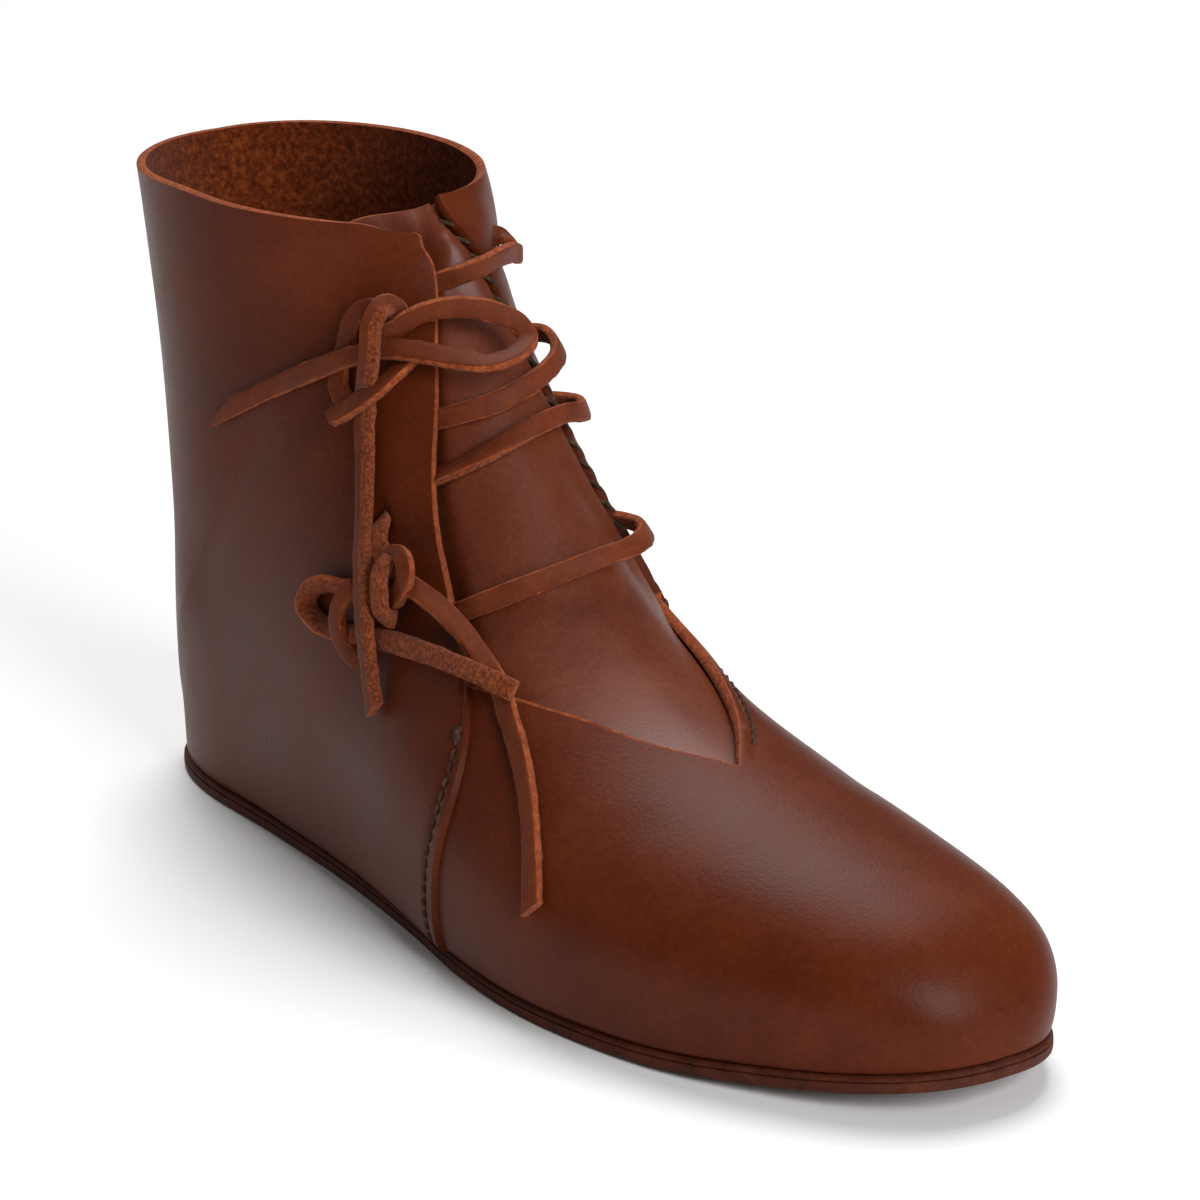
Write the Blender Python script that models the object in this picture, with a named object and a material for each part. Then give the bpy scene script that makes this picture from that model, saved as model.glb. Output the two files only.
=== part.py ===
"""Ankle-high medieval shoe for the right foot, tied on its outer side with two leather thongs.

Toe towards -Y, outer side towards -X, inner side towards +X, sole on Z = 0.
"""
import math

import bmesh
import bpy
import numpy as np

MM = 0.001

# Driving sizes
LENGTH = 285 * MM
BALL_WIDTH = 94 * MM
SHAFT_HEIGHT = 158 * MM
SOLE_THICKNESS = 4.0 * MM
SOLE_MARGIN = 1.2 * MM
INSOLE_THICKNESS = 2.0 * MM
INSOLE_INSET = 3.2 * MM
WALL = 2.2 * MM
LAP_STEP = 1.4 * MM
TONGUE_THICKNESS = 1.8 * MM
THONG_WIDTH = 4.8 * MM
THONG_THICKNESS = 2.4 * MM
CORD_DIAMETER = 3.4 * MM
KNOT_DIAMETER = 8.0 * MM
GAP = 0.3 * MM

FEATHER_HEIGHT = SOLE_THICKNESS + GAP
RISE = SHAFT_HEIGHT - FEATHER_HEIGHT
OUTER, INNER = -1, 1
# Middle of the shoe's box in plan, from the middle of the sole's length. It is the origin.
BOX_MIDDLE = np.array((1.06, 4.79, 0.0)) * MM

# Sections of the form, from the toe tip to the collar. Each lies in a plane across the shoe, from
# its ridge on the top or front to its base on the sole edge or the back. Lengths along the shoe are
# percent of LENGTH from the heel, heights are percent of RISE over the sole, widths are percent of
# BALL_WIDTH from the middle. Belly is how far down the widest place lies, crown how square the top,
# tuck how far the side rolls in under its widest place before it meets the sole.
COLUMNS = ("ridge_along", "ridge_up", "base_along", "base_up", "outer", "inner",
           "outer_foot", "inner_foot", "swing", "belly", "crown", "tuck")
SECTIONS = (
    ("tip", 100.0, 5.0, 100.0, 5.0, 0.0, 0.0, 0.0, 0.0, 17.0, 0.62, 2.2, 1.0),
    ("nose", 98.8, 13.8, 98.8, 4.4, 15.4, 16.0, 13.8, 14.4, 16.5, 0.62, 2.2, 1.0),
    ("brow", 95.1, 20.4, 95.1, 3.2, 27.7, 28.7, 25.0, 26.1, 14.9, 0.62, 2.2, 1.0),
    ("toe", 89.1, 24.6, 89.1, 1.8, 37.2, 38.8, 34.0, 35.6, 11.7, 0.62, 2.1, 1.0),
    ("joint", 80.0, 28.9, 80.0, 0.5, 46.3, 46.3, 43.1, 42.6, 6.9, 0.64, 2.0, 1.0),
    ("ball", 69.5, 34.4, 68.8, 0.0, 51.6, 48.4, 47.3, 43.1, 3.2, 0.66, 1.9, 1.0),
    ("throat", 61.4, 41.9, 58.9, 0.0, 51.1, 45.7, 45.7, 38.3, 1.1, 0.68, 1.8, 1.0),
    ("instep", 54.7, 52.0, 47.7, 0.0, 47.3, 43.1, 39.9, 30.9, 0.0, 0.68, 1.8, 1.0),
    ("waist", 48.4, 63.8, 36.5, 0.0, 43.6, 41.0, 36.7, 26.6, 0.0, 0.66, 1.8, 1.0),
    ("ankle", 42.5, 75.8, 24.6, 0.0, 41.5, 39.4, 35.6, 27.7, 0.0, 0.62, 1.9, 1.0),
    ("seat", 37.7, 85.7, 12.6, 0.0, 39.9, 38.3, 35.6, 30.3, 0.0, 0.58, 2.0, 0.5),
    ("heel_side", 35.6, 91.2, 5.6, 0.0, 39.4, 37.8, 29.6, 25.2, 0.0, 0.56, 2.0, 0.0),
    ("heel_turn", 34.7, 93.8, 1.9, 0.0, 39.1, 37.8, 18.9, 16.1, 0.0, 0.55, 2.0, 0.0),
    ("heel_end", 34.1, 95.1, 0.4, 0.0, 39.1, 37.8, 9.1, 7.8, 0.0, 0.54, 2.0, 0.0),
    ("heel", 33.75, 96.1, 0.0, 0.0, 39.1, 37.8, 0.0, 0.0, 0.0, 0.53, 2.0, 0.0),
    ("counter", 33.3, 97.2, -0.9, 13.2, 39.1, 37.8, 0.0, 0.0, 0.0, 0.52, 2.0, 0.0),
    ("tendon", 32.9, 98.2, -1.1, 32.8, 39.9, 38.3, 0.0, 0.0, 0.0, 0.51, 2.0, 0.0),
    ("cuff", 32.5, 99.2, -1.6, 58.9, 41.5, 38.3, 0.0, 0.0, 0.0, 0.50, 2.0, 0.0),
    ("rim", 32.1, 100.1, -2.8, 81.7, 43.1, 37.8, 0.0, 0.0, 0.0, 0.50, 2.0, 0.0),
    ("collar", 31.6, 101.0, -3.9, 100.0, 44.7, 36.7, 0.0, 0.0, 0.0, 0.50, 2.0, 0.0),
)
UNITS = np.array([LENGTH, RISE, LENGTH, RISE] + [BALL_WIDTH] * 5 + [100] * 3) / 100
NAMES = [row[0] for row in SECTIONS]
TABLE = np.array([row[1:] for row in SECTIONS]) * UNITS
HEEL = NAMES.index("heel")
COLLAR = NAMES.index("collar")
# The base runs along the sole edge, stops at the heel and climbs the back from there.
SLOPES = np.gradient(TABLE, axis=0, edge_order=2)
SLOPES[HEEL, [COLUMNS.index(c) for c in ("base_along", "base_up", "outer_foot", "inner_foot")]] = 0
CROWN_SHARE = 0.6

# Edges of the opening. Places along it are numbered by section, so 4.7 lies seven tenths of the way
# from joint to ball. Edge is the share of the way from the ridge down to the base.
V_POINT = 4.7
V_EDGE = {
    OUTER: ((V_POINT, 0.0), (5.1, 0.085), (5.8, 0.175), (6.9, 0.312)),
    INNER: ((V_POINT, 0.0), (5.1, 0.085), (5.8, 0.190), (7.5, 0.340)),
}
FLAP_EDGE = {
    OUTER: ((6.9, 0.312), (7.8, 0.275), (8.4, 0.248), (9.2, 0.185), (10.7, 0.080), (14.0, 0.042),
            (19.0, 0.030)),
    INNER: ((7.5, 0.340), (8.0, 0.245), (8.8, 0.180), (9.6, 0.145), (10.4, 0.110), (12.5, 0.060),
            (19.0, 0.015)),
}
# Side seams: the section each starts from at the sole, and how far it swings back at its top.
SEAM_FOOT = {OUTER: 6.25, INNER: 7.05}
SEAM_POWER = {OUTER: 10, INNER: 3}
SEAM_END = 9.5
SEAM_HALF_WIDTH = 0.012
LAP_RUN = 2.5

# Section number at which the collar is cut, from the front edges (0) round to the back (1). The outer
# flap is cut lower at its front corner.
COLLAR_PLACES = (0.0, 0.2, 0.5, 0.75, 1.0)
COLLAR_CUT = {
    OUTER: (14.8, 17.4, 18.75, 18.87, 18.9),
    INNER: (18.5, 18.9, 19.0, 18.96, 18.9),
}

# The tongue runs from under the V up to the collar, tucked under both edges.
TONGUE_FRONT = 4.3
TONGUE_PLACES = (TONGUE_FRONT, 5.0, 7.0, 9.0, 12.0, 19.0)
TONGUE_TUCK = {
    OUTER: (0.08, 0.09, 0.10, 0.16, 0.20, 0.20),
    INNER: (0.08, 0.09, 0.10, 0.10, 0.10, 0.10),
}
TONGUE_TOP = {OUTER: 17.2, INNER: 18.6}
TONGUE_DEPTH = WALL + 2 * GAP

# Thong bars: the hole each leaves on the inner side, and where it meets the outer edge.
BAR_COLUMNS = ("name", "hole_at", "hole_down", "edge_at")
BARS = (
    ("lace_bar_1", 13.6, 0.20, 10.8),
    ("lace_bar_2", 10.3, 0.27, 9.25),
    ("lace_bar_3", 9.4, 0.31, 8.8),
    ("lace_bar_4", 8.3, 0.36, 7.7),
)
BAR_RAMP = 0.11
BAR_SHORT = 0.04
BAR_SEAT = 0.7 * MM

# Free thongs, tied on the outer side. Each runs on a smooth curve through its route points: a section
# number, the share down from the ridge (minus on the outer side) and the height over the form in mm.
KNOTS = {
    "lace_upper_knot": ((10.66, -0.165, 4.4), (10.33, -0.200, 4.4), (10.02, -0.227, 4.4)),
    "lace_lower_knot": ((8.25, -0.314, 4.6), (8.13, -0.337, 4.6), (8.02, -0.358, 4.6)),
}
CORDS = {
    "lace_upper_loop": (
        (10.23, -0.142, 4.6), (10.15, -0.112, 5.0), (9.94, -0.052, 5.5), (9.69, 0.016, 6.0),
        (9.43, 0.056, 6.5), (9.21, 0.018, 6.0), (9.20, -0.040, 5.6), (9.37, -0.094, 5.2),
        (9.65, -0.140, 4.8), (9.95, -0.183, 4.4)),
    "lace_upper_end_left": (
        (10.59, -0.263, 3.2), (11.20, -0.317, 2.3), (13.10, -0.382, 2.2), (14.82, -0.463, 2.2),
        (15.48, -0.550, 2.2)),
    "lace_upper_end_short": (
        (9.62, -0.168, 2.4), (9.70, -0.240, 2.3), (9.82, -0.287, 2.2), (10.06, -0.334, 2.2)),
    "lace_upper_end_long": (
        (9.62, -0.279, 2.3), (9.31, -0.304, 2.3), (8.90, -0.345, 2.8), (8.65, -0.366, 5.0),
        (8.37, -0.382, 6.8), (8.11, -0.406, 6.8), (7.90, -0.439, 4.8), (7.68, -0.473, 2.6)),
    "lace_lower_loop": (
        (8.38, -0.378, 2.4), (8.64, -0.417, 2.3), (8.99, -0.453, 2.3), (9.10, -0.490, 2.3),
        (8.88, -0.491, 2.3), (8.55, -0.467, 2.3), (8.20, -0.425, 2.4), (7.60, -0.361, 3.4),
        (7.01, -0.304, 4.8), (6.63, -0.272, 6.4), (6.33, -0.249, 6.4)),
    "lace_lower_end": (
        (7.95, -0.312, 3.2), (7.66, -0.296, 3.4), (7.34, -0.278, 3.2), (6.90, -0.266, 2.6),
        (6.59, -0.265, 2.4), (6.32, -0.277, 2.3), (5.91, -0.302, 2.3), (5.40, -0.362, 2.3),
        (5.05, -0.451, 2.3), (4.93, -0.516, 2.3)),
}
CORD_STEP = 2.2 * CORD_DIAMETER

# Fineness of the meshes
GRID_STEP = 0.42
HALF_COLUMNS = 15
LAP_FOOT = 3
SHARP_ANGLE = math.radians(40)
WELD = 0.001 * MM


def hermite(knots, values, at, slopes=None):
    """Smooth curve through values that are given at rising knots."""
    knots = np.asarray(knots, float)
    values = np.asarray(values, float)
    if slopes is None:
        slopes = np.gradient(values, knots, axis=0, edge_order=2)
    k = int(np.clip(np.searchsorted(knots, at) - 1, 0, len(knots) - 2))
    span = knots[k + 1] - knots[k]
    f = float(np.clip((at - knots[k]) / span, 0, 1))
    near = values[k] * (1 + 2 * f) * (1 - f) ** 2 + slopes[k] * span * f * (1 - f) ** 2
    far = values[k + 1] * f * f * (3 - 2 * f) + slopes[k + 1] * span * f * f * (f - 1)
    return near + far


def smooth(f):
    f = min(max(f, 0.0), 1.0)
    return f * f * (3 - 2 * f)


def section(u):
    """Sizes of the section at u, a section number between tip and collar."""
    return dict(zip(COLUMNS, hermite(range(COLLAR + 1), TABLE, u, SLOPES)))


def lower_side(share, widest, foot, tuck):
    """Width and depth (0 to 1) under the widest place: an arc rolled in, or one cut off at the foot."""
    rolled = share * math.pi / 2
    end = math.acos(min(foot / max(widest, foot, MM), 0.999))
    cut_off = share * end
    across = tuck * (foot + (widest - foot) * math.cos(rolled)) + (1 - tuck) * widest * math.cos(cut_off)
    depth = tuck * math.sin(rolled) + (1 - tuck) * math.sin(cut_off) / math.sin(end)
    return across, depth


def skin(u, side, v):
    """Point of the outer form at section u, from the ridge (v = 0) down one side to the base (v = 1)."""
    s = section(u)
    name = "outer" if side == OUTER else "inner"
    widest = max(s[name], 0.0)
    foot = max(s[name + "_foot"], 0.0)
    if v <= CROWN_SHARE:
        angle = v / CROWN_SHARE * math.pi / 2
        power = 2 / s["crown"]
        across = widest * math.sin(angle) ** power
        down = s["belly"] * (1 - max(math.cos(angle), 0.0) ** power)
    else:
        share = (v - CROWN_SHARE) / (1 - CROWN_SHARE)
        across, depth = lower_side(share, widest, foot, s["tuck"])
        down = s["belly"] + (1 - s["belly"]) * depth
    along = s["ridge_along"] + (s["base_along"] - s["ridge_along"]) * down
    up = s["ridge_up"] + (s["base_up"] - s["ridge_up"]) * down
    return np.array((s["swing"] + side * across, LENGTH / 2 - along, FEATHER_HEIGHT + up)) - BOX_MIDDLE


def outward(u, side, v):
    """Unit normal of the outer form."""
    if u <= 0:
        return np.array((0.0, -1.0, 0.0))
    small = 0.004
    if v <= 0 or (v >= 1 and u >= HEEL):
        side = OUTER
    over_u = skin(min(u + small, COLLAR), side, v) - skin(max(u - small, 0), side, v)
    over_v = skin(u, side, min(v + small, 1)) - skin(u, side, max(v - small, 0))
    normal = side * np.cross(over_v, over_u)
    return normal / np.linalg.norm(normal)


def lifted(u, side, v, height):
    """Point at a height over the outer form."""
    return skin(u, side, v) + height * outward(u, side, v)


def edge(side, u):
    """Where the opening begins at section u, 0 where the upper is closed."""
    if u <= V_POINT:
        return 0.0
    table = V_EDGE[side] if u <= V_EDGE[side][-1][0] else FLAP_EDGE[side]
    knots, values = zip(*table)
    return float(hermite(knots, values, u))


def swung(side, u, climb):
    """Section number of grid row u at a share of the climb from the base to the edge."""
    foot = SEAM_FOOT[side]
    swing = V_EDGE[side][-1][0] - foot
    near = (u - V_POINT) / (foot - V_POINT) if u < foot else (SEAM_END - u) / (SEAM_END - foot)
    return u + swing * climb ** SEAM_POWER[side] * smooth(near)


def cut(side, u, v):
    """Section number of grid row u, with the rows of the shaft squeezed under the collar's edge."""
    if u <= HEEL:
        return u
    top = float(hermite(COLLAR_PLACES, COLLAR_CUT[side], v))
    return HEEL + (u - HEEL) * (top - HEEL) / (COLLAR - HEEL)


def lap_height(side, u):
    """Height of the quarter over the form: a step at the side seam that dies away behind it."""
    behind = u - SEAM_FOOT[side]
    if behind <= 0:
        return 0.0
    return LAP_STEP * max(0.0, 1 - behind / LAP_RUN) ** 2


def grid_rows():
    """Section numbers of the upper's rows, with a close pair at each side seam."""
    stops = [0.0, V_POINT, SEAM_FOOT[OUTER], SEAM_FOOT[INNER], HEEL, COLLAR]
    rows = []
    for start, stop in zip(stops, stops[1:]):
        count = math.ceil((stop - start) / GRID_STEP)
        for k in range(count):
            at = start + (stop - start) * k / count
            if at in SEAM_FOOT.values():
                rows += [at - SEAM_HALF_WIDTH, at + SEAM_HALF_WIDTH]
            else:
                rows.append(at)
    return rows + [float(COLLAR)]


def material(name, colour, roughness):
    made = bpy.data.materials.new(name)
    made.use_nodes = True
    shader = made.node_tree.nodes["Principled BSDF"]
    shader.inputs["Base Color"].default_value = (*colour, 1)
    shader.inputs["Roughness"].default_value = roughness
    shader.inputs["Metallic"].default_value = 0
    return made


def add_strip(mesh, first, second):
    """Faces between two rows of points of one length."""
    for a, b, c, d in zip(first, first[1:], second[1:], second):
        mesh.faces.new([mesh.verts.new(p) for p in (a, b, c, d)])


def add_grid(mesh, rows):
    for first, second in zip(rows, rows[1:]):
        add_strip(mesh, first, second)


def finish(mesh, name, finish_material):
    """Weld the strips to one closed body and hang it in the scene."""
    bmesh.ops.remove_doubles(mesh, verts=mesh.verts, dist=WELD)
    bmesh.ops.dissolve_degenerate(mesh, edges=mesh.edges, dist=WELD / 10)
    bmesh.ops.recalc_face_normals(mesh, faces=mesh.faces)
    data = bpy.data.meshes.new(name)
    mesh.to_mesh(data)
    mesh.free()
    data.shade_smooth()
    data.set_sharp_from_angle(angle=SHARP_ANGLE)
    data.materials.append(finish_material)
    made = bpy.data.objects.new(name, data)
    bpy.context.collection.objects.link(made)
    return made


def make_upper(leather):
    """Vamp and quarter as one wall, with a step where the quarter laps over the vamp."""
    rows = grid_rows()
    outside = {}
    inside = {}
    for side in (OUTER, INNER):
        outside[side] = []
        inside[side] = []
        for u in rows:
            top = edge(side, cut(side, swung(side, u, 1.0), 0.0))
            places = []
            for k in range(HALF_COLUMNS + 1):
                climb = k / HALF_COLUMNS
                v = 1 - climb * (1 - top)
                places.append((cut(side, swung(side, u, climb), v), side, v))
            laps = [lap_height(side, u) * smooth(k / LAP_FOOT) for k in range(HALF_COLUMNS + 1)]
            outside[side].append([lifted(*place, lap) for place, lap in zip(places, laps)])
            inside[side].append([lifted(*place, -WALL) for place in places])
    heel_row = rows.index(float(HEEL))
    v_row = rows.index(V_POINT)
    mesh = bmesh.new()
    for side in (OUTER, INNER):
        out, back = outside[side], inside[side]
        add_grid(mesh, out)
        add_grid(mesh, back)
        add_strip(mesh, [row[0] for row in out[:heel_row + 1]], [row[0] for row in back[:heel_row + 1]])
        add_strip(mesh, [row[-1] for row in out[v_row:]], [row[-1] for row in back[v_row:]])
        add_strip(mesh, out[-1], back[-1])
    return finish(mesh, "upper", leather)


def make_tongue(leather):
    """Gusset under the opening, one thin sheet following the inside of the upper."""
    columns = 16
    count = 34
    rows_out = []
    rows_in = []
    for k in range(count + 1):
        row = TONGUE_FRONT + (COLLAR - TONGUE_FRONT) * k / count
        reach = {s: edge(s, row) + float(hermite(TONGUE_PLACES, TONGUE_TUCK[s], row)) for s in (OUTER, INNER)}
        row_out = []
        row_in = []
        for c in range(columns + 1):
            share = c / columns
            across = -reach[OUTER] + (reach[OUTER] + reach[INNER]) * share
            side = OUTER if across < 0 else INNER
            top = TONGUE_TOP[OUTER] + (TONGUE_TOP[INNER] - TONGUE_TOP[OUTER]) * share
            u = TONGUE_FRONT + (top - TONGUE_FRONT) * k / count
            row_out.append(lifted(u, side, abs(across), -TONGUE_DEPTH))
            row_in.append(lifted(u, side, abs(across), -TONGUE_DEPTH - TONGUE_THICKNESS))
        rows_out.append(row_out)
        rows_in.append(row_in)
    mesh = bmesh.new()
    add_grid(mesh, rows_out)
    add_grid(mesh, rows_in)
    for column in (0, -1):
        add_strip(mesh, [row[column] for row in rows_out], [row[column] for row in rows_in])
    for end in (0, -1):
        add_strip(mesh, rows_out[end], rows_in[end])
    return finish(mesh, "tongue", leather)


def foot_point(u, side, margin):
    """Point of the sole edge in plan, a margin outside the feather line, with the toe's lift as Z."""
    s = section(u)
    name = "outer_foot" if side == OUTER else "inner_foot"

    def plan(at):
        here = section(at)
        return np.array((here["swing"] + side * max(here[name], 0.0), LENGTH / 2 - here["base_along"]))

    if u <= 0 or u >= HEEL:
        away = np.array((0.0, -1.0 if u <= 0 else 1.0))
    else:
        small = 0.01
        run = plan(min(u + small, HEEL)) - plan(max(u - small, 0))
        away = side * np.array((run[1], -run[0])) / np.linalg.norm(run)
    return np.append(plan(u) + margin * away, s["base_up"]) - BOX_MIDDLE


def make_sheet(name, finish_material, levels):
    """Flat sheet with the foot's outline. Each level is a margin and a height, from the bottom up."""
    count = 34
    columns = 5
    stations = [HEEL * k / count for k in range(count + 1)]
    mesh = bmesh.new()
    loops = []
    for margin, height in levels:
        rim = {s: [foot_point(u, s, margin) + (0, 0, height) for u in stations] for s in (OUTER, INNER)}
        loops.append(rim)
    for low, high in zip(loops, loops[1:]):
        for side in (OUTER, INNER):
            add_strip(mesh, low[side], high[side])
    for rim in (loops[0], loops[-1]):
        rows = []
        for a, b in zip(rim[OUTER], rim[INNER]):
            rows.append([a + (b - a) * c / columns for c in range(columns + 1)])
        add_grid(mesh, rows)
    return finish(mesh, name, finish_material)


def make_sole(leather):
    round_over = 0.5 * MM
    levels = (
        (SOLE_MARGIN - round_over, 0.0),
        (SOLE_MARGIN, 0.3 * SOLE_THICKNESS),
        (SOLE_MARGIN, 0.8 * SOLE_THICKNESS),
        (SOLE_MARGIN - round_over, SOLE_THICKNESS),
    )
    return make_sheet("sole", leather, levels)


def make_insole(leather):
    levels = ((-INSOLE_INSET, FEATHER_HEIGHT), (-INSOLE_INSET, FEATHER_HEIGHT + INSOLE_THICKNESS))
    return make_sheet("insole", leather, levels)


def bar_points(row):
    """Middle line of a bar, with the form's normal at each point."""
    count = 14
    bar = dict(zip(BAR_COLUMNS, row))
    stop = -(edge(OUTER, bar["edge_at"]) - BAR_SHORT)
    points = []
    for k in range(count + 1):
        u = bar["hole_at"] + (bar["edge_at"] - bar["hole_at"]) * k / count
        across = bar["hole_down"] + (stop - bar["hole_down"]) * k / count
        side, v = (OUTER, -across) if across < 0 else (INNER, across)
        over_quarter = lap_height(INNER, u) + BAR_SEAT
        past_edge = (edge(INNER, u) - across) / BAR_RAMP
        under = over_quarter + (-WALL - over_quarter) * smooth(past_edge)
        points.append((lifted(u, side, v, under + THONG_THICKNESS / 2), outward(u, side, v)))
    return points


def make_bar(row, leather):
    points = bar_points(row)
    half, thick = THONG_WIDTH / 2, THONG_THICKNESS / 2
    flank, flat = 0.35, 0.7
    outline = ((-1, -flank), (-flat, -1), (flat, -1), (1, -flank),
               (1, flank), (flat, 1), (-flat, 1), (-1, flank))
    rings = []
    for k, (middle, normal) in enumerate(points):
        run = points[min(k + 1, len(points) - 1)][0] - points[max(k - 1, 0)][0]
        wide = np.cross(run, normal)
        wide /= np.linalg.norm(wide)
        rise = np.cross(wide, run)
        rise /= np.linalg.norm(rise)
        ring = [middle + wide * half * a + rise * thick * b for a, b in outline]
        rings.append(ring + ring[:1])
    mesh = bmesh.new()
    add_grid(mesh, rings)
    for ring in (rings[0], rings[-1]):
        mesh.faces.new([mesh.verts.new(p) for p in ring[:-1]])
    return finish(mesh, row[0], leather)


def route(points, step):
    """Places along the smooth curve through a thong's route points, about a step apart."""
    sides = [OUTER if across < 0 else INNER for _, across, _ in points]
    through = [lifted(at, s, abs(across), up * MM) for (at, across, up), s in zip(points, sides)]
    runs = np.append(0, np.cumsum(np.linalg.norm(np.diff(through, axis=0), axis=1)))
    count = math.ceil(runs[-1] / step)
    return [hermite(runs, through, runs[-1] * k / count) for k in range(count + 1)]


def make_cord(name, places, diameter, leather):
    curve = bpy.data.curves.new(name, "CURVE")
    curve.dimensions = "3D"
    curve.bevel_depth = diameter / 2
    curve.bevel_resolution = 2
    curve.render_resolution_u = 0
    curve.use_fill_caps = True
    line = curve.splines.new("POLY")
    line.points.add(len(places) - 1)
    for point, place in zip(line.points, places):
        point.co = (*place, 1)
    curve.materials.append(leather)
    made = bpy.data.objects.new(name, curve)
    bpy.context.collection.objects.link(made)
    return made


def main():
    for thing in list(bpy.data.objects):
        bpy.data.objects.remove(thing)
    make_sole(material("sole_leather", (0.11, 0.035, 0.018), 0.6))
    make_insole(material("insole_leather", (0.22, 0.10, 0.05), 0.8))
    make_upper(material("upper_leather", (0.13, 0.035, 0.017), 0.42))
    make_tongue(material("tongue_leather", (0.14, 0.037, 0.018), 0.42))
    thong_leather = material("thong_leather", (0.25, 0.075, 0.03), 0.65)
    for row in BARS:
        make_bar(row, thong_leather)
    for name, points in KNOTS.items():
        make_cord(name, route(points, CORD_STEP), KNOT_DIAMETER, thong_leather)
    for name, points in CORDS.items():
        make_cord(name, route(points, CORD_STEP), CORD_DIAMETER, thong_leather)


main()
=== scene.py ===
"""Looks of the ankle-high medieval shoe: fine leather pieces, thongs, stitches and studio.

Toe towards -Y, outer side towards -X, inner side towards +X, sole on Z = 0. Lengths in metres.
"""

import math

import bmesh
import bpy
import numpy as np
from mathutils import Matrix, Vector


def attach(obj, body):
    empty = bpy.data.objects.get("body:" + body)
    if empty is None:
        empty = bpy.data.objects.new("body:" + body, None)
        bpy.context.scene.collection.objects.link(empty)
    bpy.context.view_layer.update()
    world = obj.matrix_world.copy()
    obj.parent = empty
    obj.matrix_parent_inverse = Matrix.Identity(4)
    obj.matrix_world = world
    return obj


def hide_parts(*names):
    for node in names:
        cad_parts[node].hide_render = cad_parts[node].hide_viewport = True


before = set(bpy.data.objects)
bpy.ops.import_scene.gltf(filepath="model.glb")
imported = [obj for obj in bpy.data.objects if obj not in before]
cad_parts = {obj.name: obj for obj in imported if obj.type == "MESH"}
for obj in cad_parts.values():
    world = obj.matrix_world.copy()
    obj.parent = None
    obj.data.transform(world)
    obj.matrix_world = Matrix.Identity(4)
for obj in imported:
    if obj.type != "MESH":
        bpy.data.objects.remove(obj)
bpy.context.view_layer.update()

MM = 0.001

# Driving sizes of the shoe
LENGTH = 285 * MM
BALL_WIDTH = 94 * MM
SHAFT_HEIGHT = 158 * MM
SOLE_THICKNESS = 4.0 * MM
SOLE_MARGIN = 1.2 * MM
WALL = 2.2 * MM
LAP_STEP = 1.4 * MM
TONGUE_THICKNESS = 1.8 * MM
THONG_WIDTH = 4.8 * MM
THONG_THICKNESS = 2.4 * MM
GAP = 0.3 * MM

FEATHER_HEIGHT = SOLE_THICKNESS + GAP
RISE = SHAFT_HEIGHT - FEATHER_HEIGHT
OUTER, INNER = -1, 1
# Middle of the shoe's box in plan, seen from the form's own origin
BOX_MIDDLE = np.array((1.06, 4.79, 0.0)) * MM

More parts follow.
